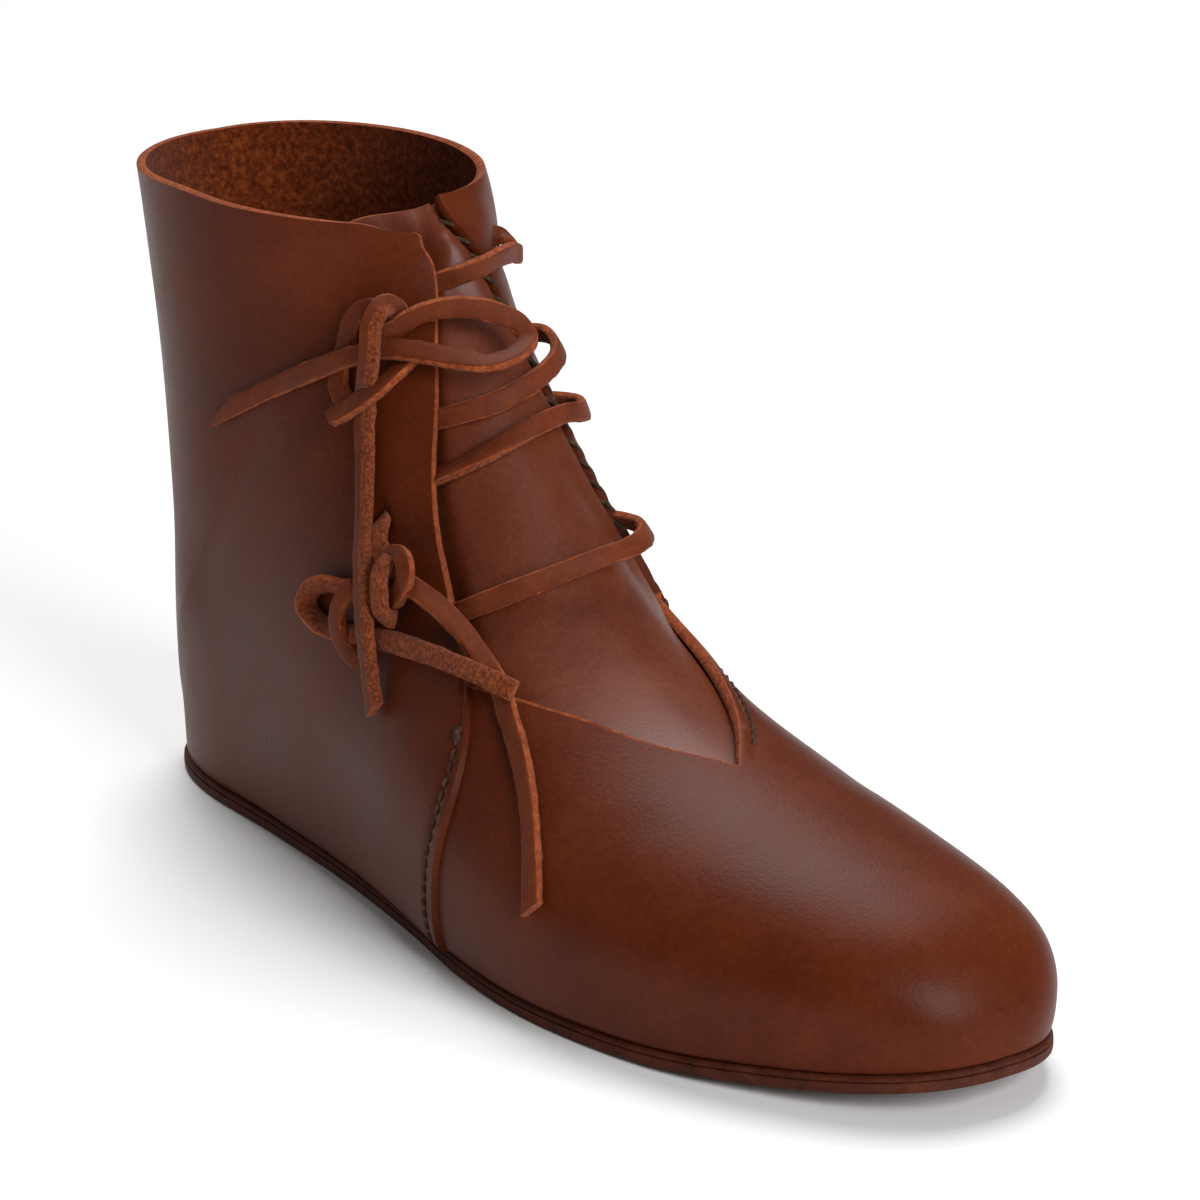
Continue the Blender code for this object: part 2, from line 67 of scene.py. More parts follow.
# Sections of the form from the toe tip to the collar, in percent of length, rise and ball width.
# Belly, crown and tuck are plain numbers.
COLUMNS = ("ridge_along", "ridge_up", "base_along", "base_up", "outer", "inner",
           "outer_foot", "inner_foot", "swing", "belly", "crown", "tuck")
SECTIONS = (
    ("tip", 100.0, 5.0, 100.0, 5.0, 0.0, 0.0, 0.0, 0.0, 17.0, 0.62, 2.2, 1.0),
    ("nose", 98.8, 13.8, 98.8, 4.4, 15.4, 16.0, 13.8, 14.4, 16.5, 0.62, 2.2, 1.0),
    ("brow", 95.1, 20.4, 95.1, 3.2, 27.7, 28.7, 25.0, 26.1, 14.9, 0.62, 2.2, 1.0),
    ("toe", 89.1, 24.6, 89.1, 1.8, 37.2, 38.8, 34.0, 35.6, 11.7, 0.62, 2.1, 1.0),
    ("joint", 80.0, 28.9, 80.0, 0.5, 46.3, 46.3, 43.1, 42.6, 6.9, 0.64, 2.0, 1.0),
    ("ball", 69.5, 34.4, 68.8, 0.0, 51.6, 48.4, 47.3, 43.1, 3.2, 0.66, 1.9, 1.0),
    ("throat", 61.4, 41.9, 58.9, 0.0, 51.1, 45.7, 45.7, 38.3, 1.1, 0.68, 1.8, 1.0),
    ("instep", 54.7, 52.0, 47.7, 0.0, 47.3, 43.1, 39.9, 30.9, 0.0, 0.68, 1.8, 1.0),
    ("waist", 48.4, 63.8, 36.5, 0.0, 43.6, 41.0, 36.7, 26.6, 0.0, 0.66, 1.8, 1.0),
    ("ankle", 42.5, 75.8, 24.6, 0.0, 41.5, 39.4, 35.6, 27.7, 0.0, 0.62, 1.9, 1.0),
    ("seat", 37.7, 85.7, 12.6, 0.0, 39.9, 38.3, 35.6, 30.3, 0.0, 0.58, 2.0, 0.5),
    ("heel_side", 35.6, 91.2, 5.6, 0.0, 39.4, 37.8, 29.6, 25.2, 0.0, 0.56, 2.0, 0.0),
    ("heel_turn", 34.7, 93.8, 1.9, 0.0, 39.1, 37.8, 18.9, 16.1, 0.0, 0.55, 2.0, 0.0),
    ("heel_end", 34.1, 95.1, 0.4, 0.0, 39.1, 37.8, 9.1, 7.8, 0.0, 0.54, 2.0, 0.0),
    ("heel", 33.75, 96.1, 0.0, 0.0, 39.1, 37.8, 0.0, 0.0, 0.0, 0.53, 2.0, 0.0),
    ("counter", 33.3, 97.2, -0.9, 13.2, 39.1, 37.8, 0.0, 0.0, 0.0, 0.52, 2.0, 0.0),
    ("tendon", 32.9, 98.2, -1.1, 32.8, 39.9, 38.3, 0.0, 0.0, 0.0, 0.51, 2.0, 0.0),
    ("cuff", 32.5, 99.2, -1.6, 58.9, 41.5, 38.3, 0.0, 0.0, 0.0, 0.50, 2.0, 0.0),
    ("rim", 32.1, 100.1, -2.8, 81.7, 43.1, 37.8, 0.0, 0.0, 0.0, 0.50, 2.0, 0.0),
    ("collar", 31.6, 101.0, -3.9, 100.0, 44.7, 36.7, 0.0, 0.0, 0.0, 0.50, 2.0, 0.0),
)
UNITS = np.array([LENGTH, RISE, LENGTH, RISE] + [BALL_WIDTH] * 5 + [100] * 3) / 100
NAMES = [row[0] for row in SECTIONS]
TABLE = np.array([row[1:] for row in SECTIONS]) * UNITS
HEEL = NAMES.index("heel")
COLLAR = NAMES.index("collar")
SLOPES = np.gradient(TABLE, axis=0, edge_order=2)
SLOPES[HEEL, [COLUMNS.index(c) for c in ("base_along", "base_up", "outer_foot", "inner_foot")]] = 0
CROWN_SHARE = 0.6
STEEPEST_CUT = 0.999

# Edges of the opening: section number and share of the way from the ridge down to the base.
V_POINT = 4.7
V_EDGE = {
    OUTER: ((V_POINT, 0.0), (5.1, 0.085), (5.8, 0.175), (6.9, 0.312)),
    INNER: ((V_POINT, 0.0), (5.1, 0.085), (5.8, 0.190), (7.5, 0.340)),
}
FLAP_EDGE = {
    OUTER: ((6.9, 0.312), (7.8, 0.275), (8.4, 0.248), (9.2, 0.185), (10.7, 0.080), (14.0, 0.042),
            (19.0, 0.030)),
    INNER: ((7.5, 0.340), (8.0, 0.245), (8.8, 0.180), (9.6, 0.145), (10.4, 0.110), (12.5, 0.060),
            (19.0, 0.015)),
}
# Side seams: section number at the foot, how late they swing back to the V's end, and where that dies away
SEAM_FOOT = {OUTER: 6.25, INNER: 7.05}
SEAM_POWER = {OUTER: 10, INNER: 3}
SEAM_END = 9.5
SEAM_HALF_WIDTH = 0.012
LAP_RUN = 2.5
# Collar's edge: section numbers at shares of the way down from the ridge
COLLAR_PLACES = (0.0, 0.2, 0.5, 0.75, 1.0)
COLLAR_CUT = {
    OUTER: (14.8, 17.4, 18.75, 18.87, 18.9),
    INNER: (18.5, 18.9, 19.0, 18.96, 18.9),
}
# Tongue: how far it reaches past the opening's edges at section numbers, and where it ends
TONGUE_FRONT = 4.3
TONGUE_PLACES = (TONGUE_FRONT, 5.0, 7.0, 9.0, 12.0, 19.0)
TONGUE_TUCK = {
    OUTER: (0.08, 0.09, 0.10, 0.16, 0.20, 0.20),
    INNER: (0.08, 0.09, 0.10, 0.10, 0.10, 0.10),
}
TONGUE_TOP = {OUTER: 17.2, INNER: 18.6}
TONGUE_DEPTH = WALL + 2 * GAP

# Fineness of the meshes
ROW_STEP = 0.08
SEAM_STEP, STITCHED = 0.02, 0.22
HALF_COLUMNS = 78
TONGUE_ROWS, TONGUE_COLUMNS = 170, 64
SOLE_STATIONS, SOLE_COLUMNS = 150, 24
SHARP_ANGLE = math.radians(42)
WELD = 0.001 * MM


# Form of the shoe
def hermite(knots, values, at, slopes=None):
    """Smooth curve through values that are given at rising knots, read at one or many places."""
    knots = np.asarray(knots, float)
    values = np.asarray(values, float)
    at = np.asarray(at, float)
    if slopes is None:
        slopes = np.gradient(values, knots, axis=0, edge_order=2)
    k = np.clip(np.searchsorted(knots, at) - 1, 0, len(knots) - 2)
    span = knots[k + 1] - knots[k]
    f = np.clip((at - knots[k]) / span, 0, 1)
    if values.ndim > 1:
        span, f = span[..., None], f[..., None]
    near = values[k] * (1 + 2 * f) * (1 - f) ** 2 + slopes[k] * span * f * (1 - f) ** 2
    far = values[k + 1] * f * f * (3 - 2 * f) + slopes[k + 1] * span * f * f * (f - 1)
    return near + far


def smooth(f):
    """Soft step from 0 to 1."""
    f = np.clip(f, 0.0, 1.0)
    return f * f * (3 - 2 * f)


def section(u):
    """Sizes of the sections at u, section numbers between tip and collar."""
    rows = hermite(range(COLLAR + 1), TABLE, u, SLOPES)
    return {name: rows[..., k] for k, name in enumerate(COLUMNS)}


def lower_side(share, widest, foot, tuck):
    """Width and depth (0 to 1) under the widest place: an arc rolled in, or one cut off at the foot."""
    rolled = share * math.pi / 2
    end = np.arccos(np.minimum(foot / np.maximum(np.maximum(widest, foot), MM), STEEPEST_CUT))
    cut_off = share * end
    across = tuck * (foot + (widest - foot) * np.cos(rolled)) + (1 - tuck) * widest * np.cos(cut_off)
    depth = tuck * np.sin(rolled) + (1 - tuck) * np.sin(cut_off) / np.sin(end)
    return across, depth


def skin(u, side, v):
    """Points of the outer form at sections u, from the ridge (v = 0) down one side to the base (v = 1)."""
    u, side, v = np.broadcast_arrays(np.asarray(u, float), side, np.asarray(v, float))
    s = section(u)
    widest = np.maximum(np.where(side == OUTER, s["outer"], s["inner"]), 0)
    foot = np.maximum(np.where(side == OUTER, s["outer_foot"], s["inner_foot"]), 0)
    angle = np.clip(v / CROWN_SHARE, 0, 1) * math.pi / 2
    power = 2 / s["crown"]
    upper_across = widest * np.sin(angle) ** power
    upper_down = s["belly"] * (1 - np.maximum(np.cos(angle), 0) ** power)
    share = np.clip((v - CROWN_SHARE) / (1 - CROWN_SHARE), 0, 1)
    lower_across, depth = lower_side(share, widest, foot, s["tuck"])
    high = v <= CROWN_SHARE
    across = np.where(high, upper_across, lower_across)
    down = np.where(high, upper_down, s["belly"] + (1 - s["belly"]) * depth)
    along = s["ridge_along"] + (s["base_along"] - s["ridge_along"]) * down
    up = s["ridge_up"] + (s["base_up"] - s["ridge_up"]) * down
    return np.stack((s["swing"] + side * across, LENGTH / 2 - along, FEATHER_HEIGHT + up), -1) - BOX_MIDDLE


def unit(vectors):
    """Vectors of length 1."""
    return vectors / np.maximum(np.linalg.norm(vectors, axis=-1, keepdims=True), 1e-12)


def outward(u, side, v):
    """Unit normals of the outer form."""
    u, side, v = np.broadcast_arrays(np.asarray(u, float), side, np.asarray(v, float))
    small = 0.004
    side = np.where((v <= 0) | ((v >= 1) & (u >= HEEL)), OUTER, side)
    over_u = skin(np.minimum(u + small, COLLAR), side, v) - skin(np.maximum(u - small, 0), side, v)
    over_v = skin(u, side, np.minimum(v + small, 1)) - skin(u, side, np.maximum(v - small, 0))
    normal = unit(side[..., None] * np.cross(over_v, over_u))
    return np.where((u <= 0)[..., None], np.array((0.0, -1.0, 0.0)), normal)


def lifted(u, side, v, height):
    """Points at a height over the outer form."""
    return skin(u, side, v) + np.asarray(height, float)[..., None] * outward(u, side, v)


def edge(side, u):
    """Where the opening begins at sections u, 0 where the upper is closed."""
    u = np.asarray(u, float)
    v_end = V_EDGE[side][-1][0]
    of_v = hermite(*zip(*V_EDGE[side]), u)
    of_flap = hermite(*zip(*FLAP_EDGE[side]), u)
    return np.where(u <= V_POINT, 0.0, np.where(u <= v_end, of_v, of_flap))


def swung(side, u, climb):
    """Section numbers of grid rows u at a share of the climb from the base to the edge."""
    foot = SEAM_FOOT[side]
    swing = V_EDGE[side][-1][0] - foot
    near = np.where(u < foot, (u - V_POINT) / (foot - V_POINT), (SEAM_END - u) / (SEAM_END - foot))
    return u + swing * climb ** SEAM_POWER[side] * smooth(near)


def cut(side, u, v):
    """Section numbers of grid rows u, with the rows of the shaft squeezed under the collar's edge."""
    top = hermite(COLLAR_PLACES, COLLAR_CUT[side], v)
    return np.where(u <= HEEL, u, HEEL + (u - HEEL) * (top - HEEL) / (COLLAR - HEEL))


def lap_height(side, u):
    """Height of the quarter over the form: a step at the side seam that dies away behind it."""
    behind = np.asarray(u, float) - SEAM_FOOT[side]
    return np.where(behind > 0, LAP_STEP * np.maximum(0, 1 - behind / LAP_RUN) ** 2, 0.0)


def grid_rows():
    """Section numbers of the upper's rows, with a close pair and finer rows at each side seam."""
    stops = [0.0, V_POINT, HEEL, COLLAR]
    for foot in SEAM_FOOT.values():
        stops += [foot, foot + STITCHED]
    stops.sort()
    rows = []
    for start, stop in zip(stops, stops[1:]):
        step = SEAM_STEP if start in SEAM_FOOT.values() else ROW_STEP
        count = math.ceil((stop - start) / step)
        for k in range(count):
            at = start + (stop - start) * k / count
            if at in SEAM_FOOT.values():
                rows += [at - SEAM_HALF_WIDTH, at + SEAM_HALF_WIDTH]
            else:
                rows.append(at)
    return np.array(rows + [float(COLLAR)])


# Camera: the photo's angle and distance, framed on the shoe. Lens and sensor are in mm.
VIEW_AZIMUTH = math.radians(-34.18)
VIEW_ELEVATION = math.radians(19.5)
VIEW_DISTANCE = 0.960
VIEW_TARGET = Vector((-BOX_MIDDLE[0], -BOX_MIDDLE[1], 70 * MM))
VIEW_LENS = 126.0
VIEW_SENSOR = 36.0
VIEW_SHIFT = (0.0338, 0.0169)


def make_camera():
    """Camera at the view's distance from its target."""
    level = math.cos(VIEW_ELEVATION)
    back = Vector((math.sin(VIEW_AZIMUTH) * level,
                   -math.cos(VIEW_AZIMUTH) * level,
                   math.sin(VIEW_ELEVATION)))
    data = bpy.data.cameras.new("camera")
    data.lens = VIEW_LENS
    data.sensor_width = VIEW_SENSOR
    data.shift_x, data.shift_y = VIEW_SHIFT
    data.dof.use_dof = False
    made = bpy.data.objects.new("camera", data)
    made.location = VIEW_TARGET + back * VIEW_DISTANCE
    made.rotation_euler = (-back).to_track_quat("-Z", "Y").to_euler()
    bpy.context.collection.objects.link(made)
    bpy.context.scene.camera = made


# Materials
def node(tree, kind, inputs=None, **settings):
    """New shader node with its settings, and inputs given as values or as sockets to link from."""
    made = tree.nodes.new("ShaderNode" + kind)
    for name, value in settings.items():
        setattr(made, name, value)
    for name, value in (inputs or {}).items():
        if isinstance(value, bpy.types.NodeSocket):
            tree.links.new(value, made.inputs[name])
        else:
            made.inputs[name].default_value = value
    return made


def ramp(tree, factor, stops):
    """Colours at places of a factor, blended between them."""
    made = node(tree, "ValToRGB", {"Fac": factor})
    elements = made.color_ramp.elements
    while len(elements) < len(stops):
        elements.new(0.5)
    for element, (place, colour) in zip(elements, stops):
        element.position = place
        element.color = (*colour, 1.0)
    return made.outputs["Color"]


# Finishes: linear colours, sizes and depths in mm
FINISH_COLUMNS = ("name", "dark", "middle", "light", "patch_size", "roughness", "specular", "coat",
                  "sheen", "grain_size", "grain_depth", "fibre_depth")
FINISHES = (
    ("upper_grain", (0.063, 0.0106, 0.0026), (0.082, 0.0142, 0.0035), (0.105, 0.0194, 0.0050),
     34.0, 0.40, 0.09, 0.0, 0.0, 0.9, 0.045, 0.008),
    ("tongue_grain", (0.084, 0.0156, 0.0048), (0.108, 0.0212, 0.0066), (0.136, 0.0284, 0.0092),
     30.0, 0.42, 0.30, 0.03, 0.0, 0.8, 0.02, 0.006),
    ("upper_flesh", (0.060, 0.0097, 0.0020), (0.146, 0.0258, 0.0047), (0.280, 0.0610, 0.0132),
     1.7, 0.92, 0.06, 0.0, 0.06, 0.6, 0.14, 0.16),
    ("cut_edge", (0.150, 0.0280, 0.0075), (0.250, 0.0520, 0.0135), (0.380, 0.0940, 0.0270),
     2.2, 0.85, 0.10, 0.0, 0.05, 0.5, 0.06, 0.08),
    ("thong_grain", (0.092, 0.0172, 0.0050), (0.120, 0.0238, 0.0070), (0.154, 0.0335, 0.0105),
     9.0, 0.54, 0.10, 0.0, 0.0, 0.6, 0.03, 0.02),
    ("thong_flesh", (0.100, 0.0185, 0.0045), (0.195, 0.0385, 0.0092), (0.315, 0.0730, 0.0190),
     0.8, 0.92, 0.08, 0.0, 0.08, 0.5, 0.16, 0.18),
    ("sole_grain", (0.040, 0.0080, 0.0030), (0.066, 0.0130, 0.0047), (0.100, 0.0215, 0.0078),
     5.0, 0.62, 0.16, 0.0, 0.0, 0.7, 0.06, 0.06),
    ("insole_flesh", (0.075, 0.0220, 0.0080), (0.130, 0.0400, 0.0140), (0.200, 0.0680, 0.0260),
     8.0, 0.90, 0.20, 0.0, 0.15, 0.8, 0.06, 0.05),
    ("thread", (0.020, 0.0100, 0.0055), (0.046, 0.0240, 0.0135), (0.096, 0.0540, 0.0320),
     1.6, 0.80, 0.15, 0.0, 0.0, 0.4, 0.05, 0.05),
)
# What all finishes share. The tone mixes large patches and small specks, and runs through three colours.
# Sizes of specks and fibres are in grains.
PER_MM = 1 / MM
PATCH_SHARE, PATCH_DETAIL, PATCH_ROUGHNESS = 0.7, 5.0, 0.62
SPECK_SHARE, SPECK_DETAIL, SPECK_SIZE = 0.3, 3.0, 1.6
FIBRE_DETAIL, FIBRE_ROUGHNESS, FIBRE_SIZE, FIBRE_GAIN = 4.0, 0.7, 0.8, 4
TONES = {"dark": 0.36, "middle": 0.50, "light": 0.66}
TONE_LOW, TONE_HIGH = 0.35, 0.65
ROUGHNESS_STRAY = 0.07
BUMP_STRENGTH = 0.8
COAT_ROUGHNESS = 0.35


def leather(row):
    """Leather or thread: mottled colour, pores and fibres as bump, and a roughness that varies a little."""
    look = dict(zip(FINISH_COLUMNS, row))
    made = bpy.data.materials.new(look["name"])
    made.use_nodes = True
    tree = made.node_tree
    shader = tree.nodes["Principled BSDF"]
    place = node(tree, "TexCoord").outputs["Object"]

    def noise(size, **inputs):
        """Noise with features of a size in mm."""
        return node(tree, "TexNoise", {"Vector": place, "Scale": PER_MM / size, **inputs}).outputs["Fac"]

    patches = noise(look["patch_size"], Detail=PATCH_DETAIL, Roughness=PATCH_ROUGHNESS)
    specks = noise(SPECK_SIZE * look["grain_size"], Detail=SPECK_DETAIL)
    fibres = noise(FIBRE_SIZE * look["grain_size"], Detail=FIBRE_DETAIL, Roughness=FIBRE_ROUGHNESS)
    pores = node(tree, "TexVoronoi", {"Vector": place, "Scale": PER_MM / look["grain_size"]})
    weighed = node(tree, "Math", {0: patches, 1: PATCH_SHARE}, operation="MULTIPLY").outputs[0]
    tone = node(tree, "Math", {0: specks, 1: SPECK_SHARE, 2: weighed}, operation="MULTIPLY_ADD").outputs[0]
    stops = [(stop, look[name]) for name, stop in TONES.items()]
    tree.links.new(ramp(tree, tone, stops), shader.inputs["Base Color"])
    rough = node(tree, "MapRange", {"Value": tone, "From Min": TONE_LOW, "From Max": TONE_HIGH,
                                    "To Min": look["roughness"] - ROUGHNESS_STRAY,
                                    "To Max": look["roughness"] + ROUGHNESS_STRAY})
    tree.links.new(rough.outputs["Result"], shader.inputs["Roughness"])
    grain = node(tree, "Bump", {"Height": pores.outputs["Distance"], "Strength": BUMP_STRENGTH,
                                "Distance": look["grain_depth"] * MM})
    nap = node(tree, "Bump", {"Height": fibres, "Strength": BUMP_STRENGTH,
                              "Distance": look["fibre_depth"] * MM * FIBRE_GAIN,
                              "Normal": grain.outputs["Normal"]})
    tree.links.new(nap.outputs["Normal"], shader.inputs["Normal"])
    shader.inputs["Coat Weight"].default_value = look["coat"]
    shader.inputs["Coat Roughness"].default_value = COAT_ROUGHNESS
    shader.inputs["Sheen Weight"].default_value = look["sheen"]
    shader.inputs["Specular IOR Level"].default_value = look["specular"]
    shader.inputs["Metallic"].default_value = 0.0
    return made


LOOKS = {row[0]: leather(row) for row in FINISHES}


# Meshes from grids of points
class Patches:
    """Grids of points welded to one mesh. Each grid names the finish of its faces."""

    def __init__(self, name, finishes):
        self.name = name
        self.finishes = finishes
        self.points = []
        self.faces = []
        self.numbers = []
        self.count = 0

    def add(self, points, finish):
        """Add a grid of rows and columns. Finish is a name, or one number for each of its faces."""
        points = np.asarray(points, float)
        rows, columns = points.shape[:2]
        at = self.count + np.arange(rows * columns).reshape(rows, columns)
        faces = np.stack((at[:-1, :-1], at[:-1, 1:], at[1:, 1:], at[1:, :-1]), -1).reshape(-1, 4)
        number = self.finishes.index(finish) if isinstance(finish, str) else np.asarray(finish).ravel()
        self.points.append(points.reshape(-1, 3))
        self.faces.append(faces)
        self.numbers.append(np.broadcast_to(number, len(faces)))
        self.count += rows * columns

    def add_cap(self, ring, finish):
        """Close an end with a fan of faces round its middle."""
        ring = np.asarray(ring, float)
        middle = np.broadcast_to(ring.mean(axis=0), ring.shape)
        closed = np.concatenate((ring, ring[:1]))
        self.add(np.stack((closed, np.concatenate((middle, middle[:1])))), finish)

    def build(self, replaces=()):
        """Weld the grids to one smooth object, which rides on the body and stands for CAD nodes."""
        data = bpy.data.meshes.new(self.name)
        data.from_pydata(np.concatenate(self.points).tolist(), [], np.concatenate(self.faces).tolist())
        data.polygons.foreach_set("material_index", np.concatenate(self.numbers).astype(np.int32))
        for finish in self.finishes:
            data.materials.append(LOOKS[finish])
        mesh = bmesh.new()
        mesh.from_mesh(data)
        bmesh.ops.remove_doubles(mesh, verts=mesh.verts, dist=WELD)
        bmesh.ops.dissolve_degenerate(mesh, edges=mesh.edges, dist=WELD)
        bmesh.ops.recalc_face_normals(mesh, faces=mesh.faces)
        mesh.to_mesh(data)
        mesh.free()
        data.shade_smooth()
        data.set_sharp_from_angle(angle=SHARP_ANGLE)
        made = bpy.data.objects.new(self.name, data)
        bpy.context.collection.objects.link(made)
        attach(made, "root")
        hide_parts(*replaces)
        return made


# Thongs: flat leather strips with a squarish section, a little ragged and uneven in width
THONG_STEP = 0.7 * MM
THONG_SIDES = 26
THONG_SQUARE = 4.5
THONG_RAGGED = 0.10 * MM
THONG_UNEVEN, UNEVEN_RUN = 0.05, 9
# Shares: raggedness of the grain face, where that face and the cut edges begin, and where split flesh ends
GRAIN_RAGGED, GRAIN_FACE, CUT_FACE, SPLIT_AT = 0.2, 0.8, 0.93, 0.0
# Ends: how far they reach back, the slant of a cut one, and how narrow and far aside a pointed one gets
THONG_TIP = 11 * MM
THONG_SLANT = 3.0 * MM
POINT_WIDTH, POINT_LEAN = 0.15, 0.8
# Strips that differ from the common width and thickness
UPPER_END_WIDTH = 5.2 * MM
LOWER_LOOP_THICKNESS = 2.8 * MM
LOWER_KNOT_WIDTH, LOWER_KNOT_THICKNESS = 4.2 * MM, 2.6 * MM

# A route is rows of section number, share down from the ridge (minus on the outer side), height over the
# form in mm and turn in degrees. At turn 0 the grain faces away from the shoe.
UPPER_LOOP = (
    (10.28, -0.208, 3.4, 34), (10.22, -0.168, 4.4, 40), (10.16, -0.122, 5.0, 44),
    (9.94, -0.052, 5.8, 46), (9.68, 0.013, 6.6, 44), (9.55, 0.039, 7.0, 42), (9.36, 0.045, 7.5, 40),
    (9.18, 0.007, 7.6, 34), (9.16, -0.046, 7.2, 26), (9.35, -0.095, 6.6, 18), (9.63, -0.139, 6.0, 14),
    (9.92, -0.180, 5.2, 10), (10.19, -0.217, 4.6, 5), (10.49, -0.257, 4.4, 0), (11.13, -0.314, 3.0, 0),
    (13.28, -0.384, 1.8, 0), (14.87, -0.467, 1.6, 0), (15.53, -0.557, 1.5, 0))
UPPER_LONG = (
    (10.34, -0.160, 2.4, 0), (10.60, -0.156, 4.6, 0), (10.73, -0.168, 7.4, 0), (10.46, -0.190, 8.8, 0),
    (10.06, -0.208, 8.8, 0), (9.86, -0.233, 6.4, 0), (9.79, -0.257, 3.2, 0), (9.58, -0.280, 2.4, 5),
    (9.23, -0.312, 2.2, 10), (8.90, -0.345, 2.6, 12), (8.63, -0.363, 4.6, 12), (8.35, -0.380, 6.4, 10),
    (8.09, -0.405, 6.4, 8), (7.90, -0.438, 4.2, 4), (7.69, -0.475, 2.4, 0))
UPPER_RING = (
    (10.92, -0.183, 2.8, 0), (11.29, -0.207, 3.6, 0), (11.31, -0.237, 2.8, 0), (10.89, -0.262, 1.8, 0),
    (10.53, -0.289, 1.8, 0), (10.19, -0.296, 2.0, 0), (9.88, -0.285, 1.8, 0))
UPPER_SHORT = (
    (9.76, -0.154, 2.0, 30), (9.71, -0.184, 3.4, 30), (9.66, -0.223, 5.8, 24), (9.77, -0.270, 4.8, 20),
    (9.99, -0.321, 3.6, 20))
LOWER_END = (
    (8.82, -0.331, -2.0, 180), (8.75, -0.329, 1.4, 180), (8.63, -0.337, 2.8, 180),
    (8.42, -0.339, 3.2, 150), (8.18, -0.327, 4.2, 60), (7.94, -0.311, 4.8, -20),
    (7.66, -0.294, 3.8, -30), (7.35, -0.279, 3.0, -30), (6.90, -0.267, 2.4, -20),
    (6.59, -0.266, 2.2, 10), (6.33, -0.278, 1.9, 25), (5.92, -0.303, 1.8, 25), (5.41, -0.362, 1.8, 20),
    (5.06, -0.452, 1.8, 10), (4.94, -0.518, 1.8, 0))
LOWER_LOOP = (
    (8.28, -0.372, 2.6, 150), (8.49, -0.395, 2.4, 140), (8.68, -0.419, 2.4, 130),
    (8.96, -0.450, 2.6, 120), (9.08, -0.476, 2.7, 114), (9.05, -0.493, 2.8, 112),
    (8.88, -0.492, 2.6, 120), (8.56, -0.468, 2.3, 150), (8.21, -0.426, 2.3, 180),
    (7.61, -0.362, 3.2, 190), (7.01, -0.304, 4.8, 195), (6.64, -0.273, 6.0, 195),
    (6.35, -0.249, 5.6, 195))
LOWER_RING_LEFT = (
    (8.30, -0.327, 2.6, 180), (8.32, -0.320, 6.0, 180), (8.26, -0.332, 8.2, 180),
    (8.12, -0.350, 8.4, 180), (8.03, -0.367, 6.2, 180), (8.00, -0.369, 2.8, 180))
LOWER_RING_RIGHT = (
    (8.40, -0.347, 2.8, 0), (8.34, -0.316, 5.6, 0), (8.19, -0.298, 7.6, 0), (8.03, -0.304, 7.8, 0),
    (8.02, -0.328, 5.6, 0), (8.15, -0.364, 2.8, 0))
LOWER_SIDE = (
    (8.53, -0.394, 4.8, 0), (8.55, -0.423, 5.4, 0), (8.49, -0.447, 5.0, 0), (8.35, -0.462, 3.4, 0),
    (8.18, -0.460, 1.8, 0))
BARS = {
    "thong_bar_1": (
        (10.91, -0.097, -3.6, 10), (10.80, -0.054, -2.4, 25), (10.77, -0.013, -1.0, 40),
        (10.88, 0.044, 0.4, 45), (11.57, 0.121, 2.6, 40), (13.2, 0.185, 4.6, 25),
        (14.6, 0.225, 5.2, 10), (15.6, 0.235, 3.4, 0), (15.8, 0.225, -1.5, 0)),
    "thong_bar_2": (
        (9.21, -0.211, -3.6, 0), (9.10, -0.175, -2.4, 8), (8.98, -0.134, -1.0, 14),
        (8.86, -0.055, 0.2, 18), (8.93, 0.042, 2.8, 18), (9.15, 0.110, 5.0, 10), (9.50, 0.168, 6.0, 0),
        (9.80, 0.190, 4.6, 0), (10.05, 0.205, -1.5, 0)),
    "thong_bar_3": (
        (8.77, -0.249, -3.6, -10), (8.66, -0.213, -2.4, -30), (8.56, -0.176, -1.0, -35),
        (8.48, -0.111, -0.2, -25), (8.49, -0.003, 1.6, 0), (8.63, 0.098, 3.6, 15),
        (8.85, 0.190, 5.0, 10), (9.15, 0.240, 4.0, 0), (9.40, 0.255, -1.5, 0)),
    "thong_bar_4": (
        (7.73, -0.323, -3.6, 0), (7.59, -0.286, -2.4, 20), (7.44, -0.245, -1.0, 28),
        (7.25, -0.164, -0.6, 28), (7.13, -0.063, 0.8, 24), (7.13, 0.030, 2.8, 14),
        (7.20, 0.100, 4.6, 4), (7.45, 0.180, 5.4, 0), (7.80, 0.240, 4.0, 0), (8.10, 0.260, -1.5, 0)),
}


def route_line(route):
    """Points of a route, a small step apart, with the direction its grain faces at each."""
    at, across, height, turn = np.array(route, float).T
    side = np.where(across < 0, OUTER, INNER)
    through = lifted(at, side, np.abs(across), height * MM)
    away = outward(at, side, np.abs(across))
    runs = np.append(0, np.cumsum(np.linalg.norm(np.diff(through, axis=0), axis=1)))
    places = np.linspace(0, runs[-1], math.ceil(runs[-1] / THONG_STEP) + 1)
    points = hermite(runs, through, places)
    along = unit(np.gradient(points, axis=0))
    facing = hermite(runs, away, places)
    facing = unit(facing - (facing * along).sum(-1, keepdims=True) * along)
    angle = np.radians(hermite(runs, turn, places))[:, None]
    facing = facing * np.cos(angle) + np.cross(along, facing) * np.sin(angle)
    return points, along, facing


